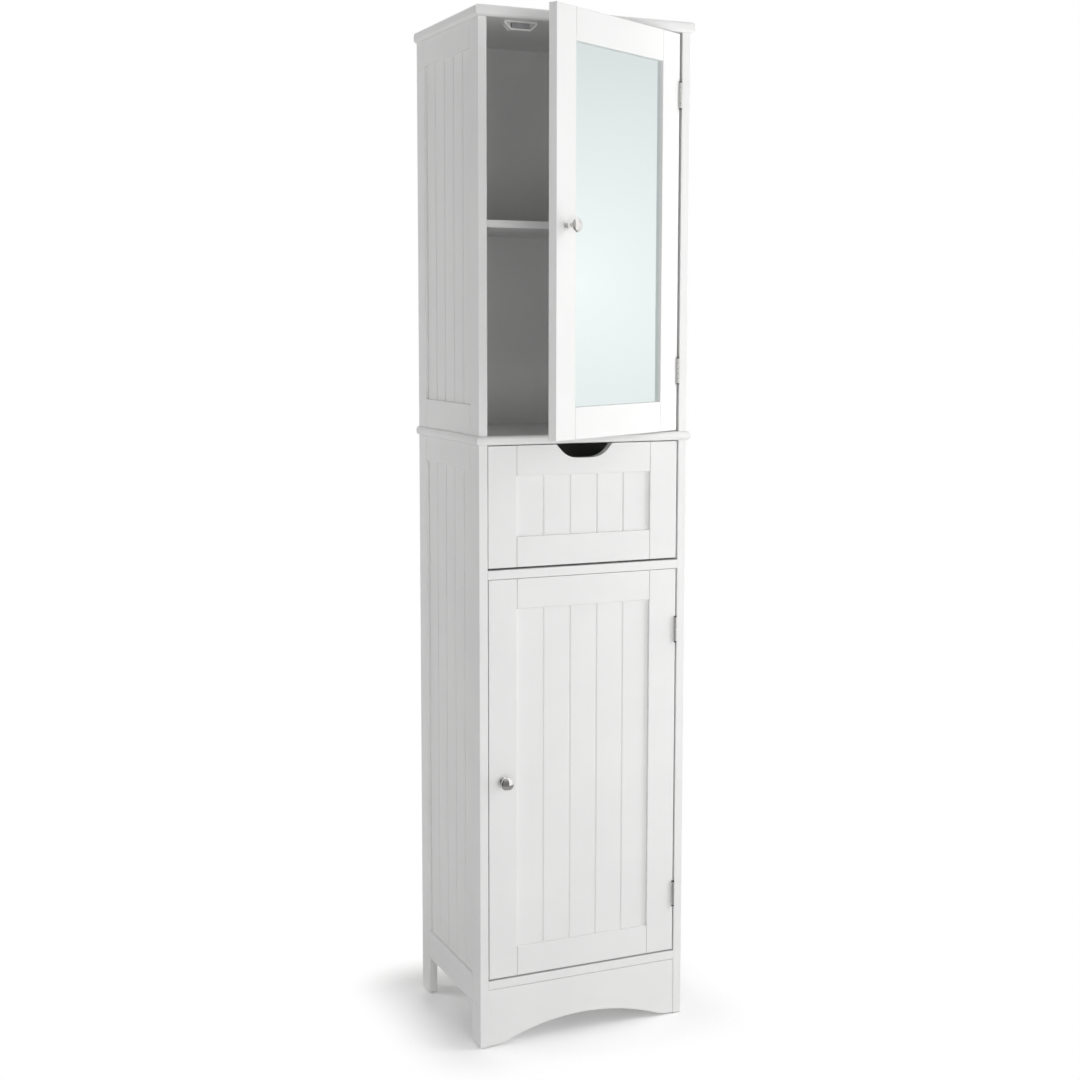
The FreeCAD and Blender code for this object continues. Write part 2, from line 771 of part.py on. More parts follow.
def drawer_runner(side):
    """A steel angle on the side frame that carries a drawer side on its flange."""
    low = divider_top + runner_lift
    depth = (door_back_y + front_gap, rear_y - side_stile_width + runner_rear_hold)
    wall_x = sorted((side * inner_x, side * (inner_x - runner_gauge)))
    flange_x = sorted((side * inner_x, side * (inner_x - runner_space - drawer_side_thickness)))
    wall = block(wall_x, depth, (low, low + runner_height))
    return wall.fuse(block(flange_x, depth, (low, low + runner_gauge))).removeSplitter()


def build_drawer():
    """The drawer: a framed front with a bead panel, two sides, a back and a bottom."""
    low = divider_top + drawer_bottom_gap
    height = drawer_opening_height - drawer_top_gap - drawer_bottom_gap
    width = inner_width - drawer_left_gap - drawer_right_gap
    frame = bead_frame(width, height, front_thickness, front_stile_width, front_rail_width, front_rail_width)
    frame["top_rail"] = frame["top_rail"].cut(scoop_cut(width, height))
    corner = Vector(inner_x - drawer_right_gap, front_y, low)
    names = {"near_stile": "right_stile", "far_stile": "left_stile"}
    for name, piece in frame.items():
        nodes["drawer_" + names.get(name, name)] = placed(piece, FRONT_AXES, corner)

    floor = drawer_floor()
    sides_z = (floor, floor + drawer_side_height)
    rear = rear_y - drawer_rear_room
    inside = inner_x - runner_space - drawer_side_thickness
    groove = inside + drawer_groove_depth
    bottom_z = (floor + drawer_bottom_lift, floor + drawer_bottom_lift + drawer_bottom_thickness)
    bottom_rear = rear - drawer_side_thickness + drawer_groove_depth
    bottom = block((-groove, groove), (door_back_y, bottom_rear), bottom_z)
    sides = [block(drawer_side_x(side), (door_back_y, rear), sides_z).cut(bottom) for side in (-1, 1)]
    nodes["drawer_sides"] = Part.makeCompound(sides)
    nodes["drawer_back"] = block((-inside, inside), (rear - drawer_side_thickness, rear), sides_z).cut(bottom)
    nodes["drawer_bottom"] = bottom


def build_doors():
    """The mirror door above and the bead panel door below."""
    heights = {storey: high - low - 2 * front_gap for storey, (low, high) in doorways.items()}
    build_door("upper", mirror_frame(door_width, heights["upper"]), 0, door_ajar_angle)
    widths = (front_stile_width, front_rail_width, front_rail_width)
    lower_frame = bead_frame(door_width, heights["lower"], front_thickness, *widths)
    build_door("lower", lower_frame, lower_door_lift, 0)


build_boards()
build_sides()
build_fixed_hardware()
build_doors()
build_drawer()

os.makedirs("parts", exist_ok=True)
for node, shape in nodes.items():
    shape.exportStep("parts/" + node + ".step")
print(len(nodes), "nodes")
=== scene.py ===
# %% [markdown]
# # Dressing a white column cabinet
#
# The cabinet is a narrow two-storey cupboard on legs: a framed mirror door above, a drawer and a grooved door
# below. Its boards, hinges and screws come from the imported model, where each one already has its real size
# and place. This lesson never moves them. It gives every piece a finish, swaps a few small fittings for finer
# ones, and ends with floor, light and camera.

# %% Load the imported cabinet
import json
import math

import bmesh
import bpy
from mathutils import Matrix, Vector


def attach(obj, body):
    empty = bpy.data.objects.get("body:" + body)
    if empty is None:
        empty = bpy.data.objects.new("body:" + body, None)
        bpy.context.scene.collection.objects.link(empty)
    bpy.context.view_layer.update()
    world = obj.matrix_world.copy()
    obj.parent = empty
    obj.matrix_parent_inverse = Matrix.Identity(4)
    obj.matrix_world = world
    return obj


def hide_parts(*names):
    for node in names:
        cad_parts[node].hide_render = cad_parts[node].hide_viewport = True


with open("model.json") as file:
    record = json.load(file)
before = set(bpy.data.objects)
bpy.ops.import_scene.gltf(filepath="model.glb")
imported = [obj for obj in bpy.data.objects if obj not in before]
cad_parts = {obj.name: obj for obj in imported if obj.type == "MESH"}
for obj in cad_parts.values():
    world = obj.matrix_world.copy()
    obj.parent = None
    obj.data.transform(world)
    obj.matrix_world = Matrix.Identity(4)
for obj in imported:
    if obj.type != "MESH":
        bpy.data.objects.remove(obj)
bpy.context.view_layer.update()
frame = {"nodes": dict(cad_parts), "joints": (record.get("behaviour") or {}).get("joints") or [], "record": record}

nodes = frame["nodes"]
MM = 0.001

# %% [markdown]
# ## A few hands for the paint shop
#
# Every finish here is a small tree of shader nodes. The real thing is never one even colour: paint clouds a
# little, metal is rubbed, plastic has a grain. One could paint pictures for that, but a cloud of noise laid
# out in the piece's own coordinates needs no unwrapping and stays put when a door swings. A few helpers cover
# it: start a finish, find the piece's coordinates, work out a number, make noise, and let the noise tint a
# colour, vary a number or dent the surface.

# %% Helpers for node finishes
NOISE_LOW = 0.3
NOISE_HIGH = 0.7


def new_finish(name):
    """A fresh material with its tree and its main shader."""
    material = bpy.data.materials.new(name)
    material.use_nodes = True
    return material, material.node_tree, material.node_tree.nodes["Principled BSDF"]


def own_coordinates(tree, stretch=(1, 1, 1)):
    """The piece's own coordinates in metres, stretched along its axes."""
    place = tree.nodes.new("ShaderNodeTexCoord")
    mapping = tree.nodes.new("ShaderNodeMapping")
    mapping.inputs["Scale"].default_value = stretch
    tree.links.new(place.outputs["Object"], mapping.inputs["Vector"])
    return mapping.outputs["Vector"]


def cloud(tree, per_metre, detail=2.0, stretch=(1, 1, 1)):
    """Noise with so many blobs in a metre."""
    noise = tree.nodes.new("ShaderNodeTexNoise")
    noise.inputs["Scale"].default_value = per_metre
    noise.inputs["Detail"].default_value = detail
    tree.links.new(own_coordinates(tree, stretch), noise.inputs["Vector"])
    return noise.outputs["Fac"]


def maths(tree, operation, *terms):
    """The result of one operation on sockets and plain numbers."""
    made = tree.nodes.new("ShaderNodeMath")
    made.operation = operation
    for socket, term in zip(made.inputs, terms):
        if isinstance(term, (int, float)):
            socket.default_value = term
        else:
            tree.links.new(term, socket)
    return made.outputs["Value"]


def tinted(tree, value, colours):
    """A colour that runs from the first to the second of two colours as the value rises."""
    ramp = tree.nodes.new("ShaderNodeValToRGB")
    ends = ramp.color_ramp.elements
    ends[0].position = NOISE_LOW
    ends[0].color = (*colours[0], 1)
    ends[1].position = NOISE_HIGH
    ends[1].color = (*colours[1], 1)
    tree.links.new(value, ramp.inputs["Fac"])
    return ramp.outputs["Color"]


def vary(tree, value, socket, low, high):
    """Lets a cloud drive a socket between two numbers."""
    span = tree.nodes.new("ShaderNodeMapRange")
    span.inputs["From Min"].default_value = NOISE_LOW
    span.inputs["From Max"].default_value = NOISE_HIGH
    span.inputs["To Min"].default_value = low
    span.inputs["To Max"].default_value = high
    tree.links.new(value, span.inputs["Value"])
    tree.links.new(span.outputs["Result"], socket)


def dent(tree, shader, value, depth, strength):
    """Lets a cloud dent the surface by up to the depth, in metres."""
    bump = tree.nodes.new("ShaderNodeBump")
    bump.inputs["Strength"].default_value = strength
    bump.inputs["Distance"].default_value = depth
    tree.links.new(value, bump.inputs["Height"])
    tree.links.new(bump.outputs["Normal"], shader.inputs["Normal"])


print("helpers: finish, coordinates, cloud, maths, tint, vary, dent")

# %% [markdown]
# ## Satin white paint
#
# Nearly the whole cabinet is fibreboard, sprayed with a satin white paint. Sprayed paint isn't a mirror and
# isn't chalk: it levels into a faint ripple, called orange peel, and its sheen shifts a little from place to
# place. A wide, weak cloud moves the white by a hair, a finer one moves the roughness, and blobs of about two
# millimetres make the ripple. The white itself stays below full white, so that lit and shaded faces can still
# differ.

# %% Paint
PAINT_WHITES = ((0.835, 0.838, 0.832), (0.868, 0.869, 0.862))
PAINT_CLOUDS_PER_METRE = 7
PAINT_CLOUD_DETAIL = 3
PAINT_SHEENS_PER_METRE = 38
PAINT_ROUGHNESS = (0.36, 0.48)
PAINT_SPECULAR = 0.42
PEEL_PER_METRE = 520
PEEL_DETAIL = 1
PEEL_DEPTH = 0.03 * MM
PEEL_STRENGTH = 0.5


def satin_paint():
    """White spray paint with a soft sheen and a trace of orange peel."""
    material, tree, shader = new_finish("satin_white_paint")
    clouds = cloud(tree, PAINT_CLOUDS_PER_METRE, PAINT_CLOUD_DETAIL)
    tree.links.new(tinted(tree, clouds, PAINT_WHITES), shader.inputs["Base Color"])
    vary(tree, cloud(tree, PAINT_SHEENS_PER_METRE), shader.inputs["Roughness"], *PAINT_ROUGHNESS)
    dent(tree, shader, cloud(tree, PEEL_PER_METRE, PEEL_DETAIL), PEEL_DEPTH, PEEL_STRENGTH)
    shader.inputs["Specular IOR Level"].default_value = PAINT_SPECULAR
    return material


print("paint between whites", PAINT_WHITES)

# %% [markdown]
# ## Thin fibreboard
#
# The backs and the drawer's bottom are thin hardboard with one white face. Their other face stays raw: brown,
# flecked with fibres, and marked by the wire screen that the sheet was pressed on. Two materials per panel
# would do, but the piece's own normal already tells the faces apart, so one finish serves all: where a face
# looks backwards or down it is raw, and elsewhere it is white.

# %% Hardboard
RAW_BROWNS = ((0.235, 0.150, 0.085), (0.400, 0.275, 0.170))
FACED_WHITES = ((0.800, 0.802, 0.795), (0.838, 0.838, 0.830))
FACED_CLOUDS_PER_METRE = 9
FACED_CLOUD_DETAIL = 3
FACED_SHEENS_PER_METRE = 45
FACED_ROUGHNESS = (0.45, 0.58)
FIBRES_PER_METRE = 190
FIBRE_DETAIL = 6
FIBRE_STRETCH = (1.0, 1.0, 0.35)
SCREEN_MARKS_PER_METRE = 330
MARKS_PER_WAVE_SCALE = 3
SCREEN_WOBBLE = 0.6
SCREEN_DEPTH = 0.05 * MM
SCREEN_STRENGTH = 0.25
RAW_ABOVE = 0.5
# The mix node has sockets of the same names for each kind of data, so the colour ones are picked by place.
MIX_COLOUR_INPUTS = (0, 6, 7)
MIX_COLOUR_OUTPUT = 2


def fibres(tree):
    """The flecks of pressed wood fibre."""
    return cloud(tree, FIBRES_PER_METRE, FIBRE_DETAIL, FIBRE_STRETCH)


def screen_marks(tree):
    """The print of a woven wire screen, as two crossed waves."""
    waves = []
    for axis in ("X", "Z"):
        wave = tree.nodes.new("ShaderNodeTexWave")
        wave.bands_direction = axis
        wave.inputs["Scale"].default_value = SCREEN_MARKS_PER_METRE / MARKS_PER_WAVE_SCALE
        wave.inputs["Distortion"].default_value = SCREEN_WOBBLE
        tree.links.new(own_coordinates(tree), wave.inputs["Vector"])
        waves.append(wave.outputs["Fac"])
    return maths(tree, "MULTIPLY", *waves)


def raw_side(tree):
    """One where a face looks backwards or down, and zero elsewhere."""
    place = tree.nodes.new("ShaderNodeTexCoord")
    parts = tree.nodes.new("ShaderNodeSeparateXYZ")
    tree.links.new(place.outputs["Normal"], parts.inputs["Vector"])
    down = maths(tree, "MULTIPLY", parts.outputs["Z"], -1)
    back_or_down = maths(tree, "MAXIMUM", parts.outputs["Y"], down)
    return maths(tree, "GREATER_THAN", back_or_down, RAW_ABOVE)


def faced_hardboard():
    """Hardboard with one white face, raw behind and below."""
    material, tree, shader = new_finish("white_faced_hardboard")
    mix = tree.nodes.new("ShaderNodeMix")
    mix.data_type = "RGBA"
    factor, white, brown = (mix.inputs[place] for place in MIX_COLOUR_INPUTS)
    clouds = cloud(tree, FACED_CLOUDS_PER_METRE, FACED_CLOUD_DETAIL)
    tree.links.new(raw_side(tree), factor)
    tree.links.new(tinted(tree, clouds, FACED_WHITES), white)
    tree.links.new(tinted(tree, fibres(tree), RAW_BROWNS), brown)
    tree.links.new(mix.outputs[MIX_COLOUR_OUTPUT], shader.inputs["Base Color"])
    vary(tree, cloud(tree, FACED_SHEENS_PER_METRE), shader.inputs["Roughness"], *FACED_ROUGHNESS)
    dent(tree, shader, screen_marks(tree), SCREEN_DEPTH, SCREEN_STRENGTH)
    return material


print("hardboard with", SCREEN_MARKS_PER_METRE, "screen marks to the metre")

# %% [markdown]
# ## Mirror
#
# The upper door holds a plain silvered mirror. Clear glass over a silver coat could be built as two layers,
# but seen from the front they act as one sheet of metal with the faint green of the glass, and one layer
# renders without noise. Hardly visible smears change the roughness, so that the reflection isn't perfect.

# %% Mirror glass
SILVER_TINTS = ((0.832, 0.906, 0.898), (0.856, 0.930, 0.922))
TINTS_PER_METRE = 2.2
TINT_DETAIL = 1
SMEARS_PER_METRE = 14
SMEAR_DETAIL = 4
SMEAR_STRETCH = (1, 1, 0.4)
MIRROR_ROUGHNESS = (0.012, 0.045)


def mirror_glass():
    """Silver behind faintly green glass."""
    material, tree, shader = new_finish("mirror_glass")
    tints = cloud(tree, TINTS_PER_METRE, TINT_DETAIL)
    tree.links.new(tinted(tree, tints, SILVER_TINTS), shader.inputs["Base Color"])
    shader.inputs["Metallic"].default_value = 1.0
    smears = cloud(tree, SMEARS_PER_METRE, SMEAR_DETAIL, SMEAR_STRETCH)
    vary(tree, smears, shader.inputs["Roughness"], *MIRROR_ROUGHNESS)
    return material


print("mirror tints", SILVER_TINTS)

# %% [markdown]
# ## Plated metal, plastic and magnet
#
# The knobs are bright chrome, the hinges a warmer and duller nickel on pins of oiled steel, and the screws,
# plates and runners zinc. The first three share one recipe with another colour, roughness and rub: the knobs
# are polished evenly, and the fine lines along a hinge come from noise that is stretched in one direction.
# Zinc has crystals instead, which are cells with slightly different greys. The catches and glides are moulded
# plastic with a fine grain, and the magnets dark ferrite.

# %% Metals, plastic and ferrite
CHROME_TINTS = ((0.84, 0.83, 0.81), (0.90, 0.89, 0.87))
NICKEL_TINTS = ((0.72, 0.712, 0.69), (0.80, 0.792, 0.77))
OILED_GREYS = ((0.10, 0.10, 0.098), (0.16, 0.16, 0.155))
ZINC_GREYS = ((0.56, 0.57, 0.58), (0.70, 0.71, 0.72))
PLASTIC_WHITES = ((0.80, 0.80, 0.785), (0.84, 0.84, 0.825))
FERRITE_GREYS = ((0.24, 0.24, 0.245), (0.36, 0.36, 0.365))
FINE_DETAIL = 3
TARNISH_PER_METRE = 120
RUBS_PER_METRE = 900
RUB_STRENGTH = 0.3
POLISHED_EVENLY = (1, 1, 1)
RUBBED_LENGTHWISE = (1, 1, 0.06)
POLISH_DEPTH = 0.002 * MM
RUB_DEPTH = 0.01 * MM
ZINC_CELLS_PER_METRE = 420
ZINC_SHEENS_PER_METRE = 300
ZINC_ROUGHNESS = (0.28, 0.46)
MOULD_CLOUDS_PER_METRE = 90
MOULD_SHEENS_PER_METRE = 200
GRAIN_STRENGTH = 0.4


def rubbed_metal(name, colours, roughness, rub, rub_depth):
    """Metal with fine rub marks, which a stretch can draw out in one direction."""
    material, tree, shader = new_finish(name)
    tarnish = cloud(tree, TARNISH_PER_METRE, FINE_DETAIL)
    tree.links.new(tinted(tree, tarnish, colours), shader.inputs["Base Color"])
    shader.inputs["Metallic"].default_value = 1.0
    marks = cloud(tree, RUBS_PER_METRE, FINE_DETAIL, rub)
    vary(tree, marks, shader.inputs["Roughness"], *roughness)
    dent(tree, shader, marks, rub_depth, RUB_STRENGTH)
    return material


def zinc_plating():
    """Zinc with its crystal cells."""
    material, tree, shader = new_finish("zinc_plating")
    cells = tree.nodes.new("ShaderNodeTexVoronoi")
    cells.inputs["Scale"].default_value = ZINC_CELLS_PER_METRE
    tree.links.new(own_coordinates(tree), cells.inputs["Vector"])
    tree.links.new(tinted(tree, cells.outputs["Color"], ZINC_GREYS), shader.inputs["Base Color"])
    shader.inputs["Metallic"].default_value = 1.0
    sheens = cloud(tree, ZINC_SHEENS_PER_METRE, FINE_DETAIL)
    vary(tree, sheens, shader.inputs["Roughness"], *ZINC_ROUGHNESS)
    return material


def moulded(name, colours, roughness, grain_per_metre, grain_depth):
    """A moulded or pressed material with a fine grain."""
    material, tree, shader = new_finish(name)
    clouds = cloud(tree, MOULD_CLOUDS_PER_METRE, FINE_DETAIL)
    tree.links.new(tinted(tree, clouds, colours), shader.inputs["Base Color"])
    vary(tree, cloud(tree, MOULD_SHEENS_PER_METRE), shader.inputs["Roughness"], *roughness)
    dent(tree, shader, cloud(tree, grain_per_metre), grain_depth, GRAIN_STRENGTH)
    return material


finishes = {
    "white_paint": satin_paint(),
    "white_hardboard": faced_hardboard(),
    "mirror_glass": mirror_glass(),
    "polished_chrome": rubbed_metal(
        "polished_chrome", CHROME_TINTS, roughness=(0.05, 0.11), rub=POLISHED_EVENLY, rub_depth=POLISH_DEPTH
    ),
    "nickel_steel": rubbed_metal(
        "nickel_plating", NICKEL_TINTS, roughness=(0.26, 0.38), rub=RUBBED_LENGTHWISE, rub_depth=RUB_DEPTH
    ),
    "dark_steel": rubbed_metal(
        "oiled_steel", OILED_GREYS, roughness=(0.3, 0.45), rub=RUBBED_LENGTHWISE, rub_depth=RUB_DEPTH
    ),
    "zinc_steel": zinc_plating(),
    "white_plastic": moulded(
        "white_plastic", PLASTIC_WHITES, roughness=(0.38, 0.5), grain_per_metre=1400, grain_depth=0.02 * MM
    ),
    "dark_magnet": moulded(
        "dark_ferrite", FERRITE_GREYS, roughness=(0.5, 0.68), grain_per_metre=1800, grain_depth=0.05 * MM
    ),
}
print("finishes:", ", ".join(finishes))

# %% [markdown]
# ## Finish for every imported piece
#
# The record of the part says which finish each piece takes, so the lesson reads it there and needs no list of
# its own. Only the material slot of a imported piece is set. Its mesh and place stay as they are.

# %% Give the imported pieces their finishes
slot_of = {row["node"]: row["material_slot"] for row in frame["record"]["subparts"]}
for name, piece in nodes.items():
    for slot in piece.material_slots:
        slot.material = finishes[slot_of[name]]
print("dressed", len(slot_of), "packed pieces")

# %% [markdown]
# ## Where the small fittings sit
#
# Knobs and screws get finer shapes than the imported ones, at the same places. Those places could be typed in,
# but they'd go wrong when a size changes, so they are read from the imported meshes: points that share edges
# are one solid, and its box gives the place. The upper door stands ajar, so its solids are first turned back
# to the closed door, where everything is square, and the new pieces are turned out again at the end.

# %% Read the solids of a piece
joint_of = {joint["child"]: joint for joint in frame["joints"]}
MERGE = 1e-6
SORTING_DIGITS = 5


def ajar(body):
    """The turn from the closed door to the door as it stands."""
    joint = joint_of.get(body)
    if not joint or joint["type"] != "hinge":
        return Matrix.Identity(4)
    pivot = Vector(joint["pos_m"])
    turn = Matrix.Rotation(-math.radians(joint["range_deg"][0]), 4, Vector(joint["axis"]))
    return Matrix.Translation(pivot) @ turn @ Matrix.Translation(-pivot)


def connected(start, unseen):
    """All points that edges join to the first one."""
    patch = [start]
    for point in patch:
        for edge in point.link_edges:
            other = edge.other_vert(point)
            if other in unseen:
                unseen.remove(other)
                patch.append(other)
    return patch


def solids_of(node, body):
    """The lowest and highest corner of each solid of a piece, with its door closed."""
    shape = bmesh.new()
    shape.from_mesh(nodes[node].data)
    shape.transform(ajar(body).inverted())
    bmesh.ops.remove_doubles(shape, verts=shape.verts, dist=MERGE)
    unseen = set(shape.verts)
    boxes = []
    while unseen:
        patch = connected(unseen.pop(), unseen)
        corners = [[pick(p.co[i] for p in patch) for i in range(3)] for pick in (min, max)]
        boxes.append((Vector(corners[0]), Vector(corners[1])))
    shape.free()
    return sorted(boxes, key=lambda box: tuple(round(c, SORTING_DIGITS) for c in box[0]))


def settle(mesh, name, body, slot, replaced=()):
    """Makes an object of a mesh that was built on the closed door, and lets it ride on its body."""
    mesh.transform(ajar(body))
    mesh.name = name
    piece = bpy.data.objects.new(name, mesh)
    bpy.context.scene.collection.objects.link(piece)
    if not mesh.materials:
        mesh.materials.append(finishes[slot])
    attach(piece, body)
    if replaced:
        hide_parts(*replaced)
    return piece


print("upper door screws:", len(solids_of("upper_door_screws", "upper_door")))

# %% [markdown]
# ## Turned knobs
#
# Each knob is turned from brass and chromed: a thin foot, a waist with a small ring, and a mushroom head with
# a soft rim. A lathe is a profile swept round an axis, so the profile is drawn as a few points, smoothed into
# a curve, and spun. A polished piece shows every facet, which is why the curve is sampled finely here and
# shaded smooth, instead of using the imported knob.

# %% Knobs
KNOB_FOOT = ((7.5, 0.0), (7.5, 1.2), (7.2, 1.9), (6.3, 2.35))
KNOB_WAIST = ((5.3, 2.7), (5.5, 3.3), (5.1, 3.9), (4.5, 5.0), (4.2, 7.2), (4.5, 9.6), (5.6, 12.4))
KNOB_RIM = ((7.8, 15.8), (10.2, 18.4), (11.25, 19.6), (11.5, 20.5), (11.1, 21.6))
KNOB_CROWN = ((9.4, 23.3), (6.6, 24.8), (3.4, 25.7), (0.0, 26.0))
KNOB_PROFILE = KNOB_FOOT + KNOB_WAIST + KNOB_RIM + KNOB_CROWN
SAMPLES_PER_STEP = 4
KNOB_STEPS = 56


def spline(t, before, start, end, after):
    """A number on its smooth way from the start to the end, given its neighbours on both sides."""
    bend = 2 * before - 5 * start + 4 * end - after
    twist = 3 * (start - end) + after - before
    return start + ((end - before) * t + bend * t ** 2 + twist * t ** 3) / 2


def smooth_curve(points, samples):
    """Points along a curve that runs smoothly through the given ones."""
    ends = [points[0], *points, points[-1]]
    curve = []
    for a, b, c, d in zip(ends, ends[1:], ends[2:], ends[3:]):
        for step in range(samples):
            t = step / samples
            curve.append(tuple(spline(t, *places) for places in zip(a, b, c, d)))
    return [*curve, points[-1]]


def turned_knob(foot):
    """A knob that stands on the front of a closed door, its foot round the given point."""
    shape = bmesh.new()
    line = [(0.0, 0.0), *smooth_curve(KNOB_PROFILE, SAMPLES_PER_STEP)]
    points = [shape.verts.new(foot + Vector((radius, -height, 0)) * MM) for radius, height in line]
    edges = [shape.edges.new(pair) for pair in zip(points, points[1:])]
    bmesh.ops.spin(
        shape, geom=points + edges, cent=foot, axis=(0, 1, 0),
        angle=2 * math.pi, steps=KNOB_STEPS, use_merge=True,
    )
    bmesh.ops.remove_doubles(shape, verts=shape.verts, dist=MERGE)
    bmesh.ops.recalc_face_normals(shape, faces=shape.faces)
    mesh = bpy.data.meshes.new("knob")
    shape.to_mesh(mesh)
    shape.free()
    mesh.shade_smooth()
    return mesh


for body in ("upper_door", "lower_door"):
    low, high = solids_of(body + "_knob", body)[0]
    foot = Vector(((low.x + high.x) / 2, high.y, (low.z + high.z) / 2))
    knob = settle(turned_knob(foot), body + "_turned_knob", body, "polished_chrome", [body + "_knob"])
    print(knob.name, "with", len(knob.data.polygons), "faces")

# %% [markdown]
# ## Screws with a cross slot
#
# Butt hinges, strike plates, catches and knobs are held by small screws, seen once a door is open. They're
# all one shape at many places, which is what Geometry Nodes are for: one head with a cross cut into it is set
# on every point, turned to face out of its hole, and spun by chance, since nobody lines up screw slots. The
# points carry their own sizes as attributes, so flat hinge screws and domed knob screws come from one tree.

# %% The tree that makes screws
SCREW_FACTS = ("head_radius", "head_height", "shank_radius", "shank_length")
HEAD_SEGMENTS = 20
HEAD_RINGS = 12
SHANK_SIDES = 10
UNIT_LENGTH = 1.0
HALF_SPACE = (4, 4, 2)
SLOT_MIDDLE = 0.95
# The random node's sockets share names too, so the ones for plain numbers are picked by place.
RANDOM_FLOAT_MAX_INPUT = 3
RANDOM_FLOAT_OUTPUT = 1


def node(tree, kind, **inputs):
    """A node with some of its inputs set by name."""
    made = tree.nodes.new(kind)
    for name, value in inputs.items():
        made.inputs[name.replace("_", " ")].default_value = value
    return made


def attribute(tree, name, kind="FLOAT"):
    """Reads an attribute that the points carry."""
    made = node(tree, "GeometryNodeInputNamedAttribute", Name=name)
    made.data_type = kind
    return made.outputs["Attribute"]


def cross_head(tree, group):
    """A dome of radius one and height one with a cross slot cut into it."""
    ball = node(tree, "GeometryNodeMeshUVSphere", Segments=HEAD_SEGMENTS, Rings=HEAD_RINGS, Radius=1.0)
    upper_half = node(tree, "GeometryNodeMeshCube", Size=HALF_SPACE)
    lifted = node(tree, "GeometryNodeTransform", Translation=(0, 0, HALF_SPACE[2] / 2))
    dome = tree.nodes.new("GeometryNodeMeshBoolean")
    dome.operation = "INTERSECT"
    slotted = tree.nodes.new("GeometryNodeMeshBoolean")
    slotted.operation = "DIFFERENCE"
    tree.links.new(upper_half.outputs["Mesh"], lifted.inputs["Geometry"])
    tree.links.new(ball.outputs["Mesh"], dome.inputs["Mesh 2"])
    tree.links.new(lifted.outputs["Geometry"], dome.inputs["Mesh 2"])
    tree.links.new(dome.outputs["Mesh"], slotted.inputs["Mesh 1"])
    for across in (False, True):
        size = tree.nodes.new("ShaderNodeCombineXYZ")
        size.inputs["Z"].default_value = 1.0
        tree.links.new(group.outputs["Slot Length"], size.inputs["Y" if across else "X"])
        tree.links.new(group.outputs["Slot Width"], size.inputs["X" if across else "Y"])
        bar = tree.nodes.new("GeometryNodeMeshCube")
        raised = node(tree, "GeometryNodeTransform", Translation=(0, 0, SLOT_MIDDLE))
        tree.links.new(size.outputs["Vector"], bar.inputs["Size"])
        tree.links.new(bar.outputs["Mesh"], raised.inputs["Geometry"])
        tree.links.new(raised.outputs["Geometry"], slotted.inputs["Mesh 2"])
    return slotted.outputs["Mesh"]


def set_on_points(tree, group, shape, rotation, radius, height):
    """Sets a unit shape on every point, sized by two of the point's attributes."""
    size = tree.nodes.new("ShaderNodeCombineXYZ")
    for axis, fact in (("X", radius), ("Y", radius), ("Z", height)):
        tree.links.new(attribute(tree, fact), size.inputs[axis])
    placed = tree.nodes.new("GeometryNodeInstanceOnPoints")
    tree.links.new(group.outputs["Places"], placed.inputs["Points"])
    tree.links.new(shape, placed.inputs["Instance"])
    tree.links.new(rotation, placed.inputs["Rotation"])
    tree.links.new(size.outputs["Vector"], placed.inputs["Scale"])
    return placed.outputs["Instances"]


def facing_by_chance(tree, group):
    """Turns a shape's top along the point's facing, and spins it by chance."""
    spin = tree.nodes.new("FunctionNodeRandomValue")
    spin.inputs[RANDOM_FLOAT_MAX_INPUT].default_value = math.tau
    tree.links.new(group.outputs["Seed"], spin.inputs["Seed"])
    spun = node(tree, "FunctionNodeAxisAngleToRotation", Axis=(0, 0, 1))
    tree.links.new(spin.outputs[RANDOM_FLOAT_OUTPUT], spun.inputs["Angle"])
    aligned = tree.nodes.new("FunctionNodeAlignRotationToVector")
    aligned.axis = "Z"
    tree.links.new(attribute(tree, "facing", "FLOAT_VECTOR"), aligned.inputs["Vector"])
    both = tree.nodes.new("FunctionNodeRotateRotation")
    both.rotation_space = "LOCAL"
    tree.links.new(aligned.outputs["Rotation"], both.inputs["Rotation"])
    tree.links.new(spun.outputs["Rotation"], both.inputs["Rotate By"])
    return both.outputs["Rotation"]


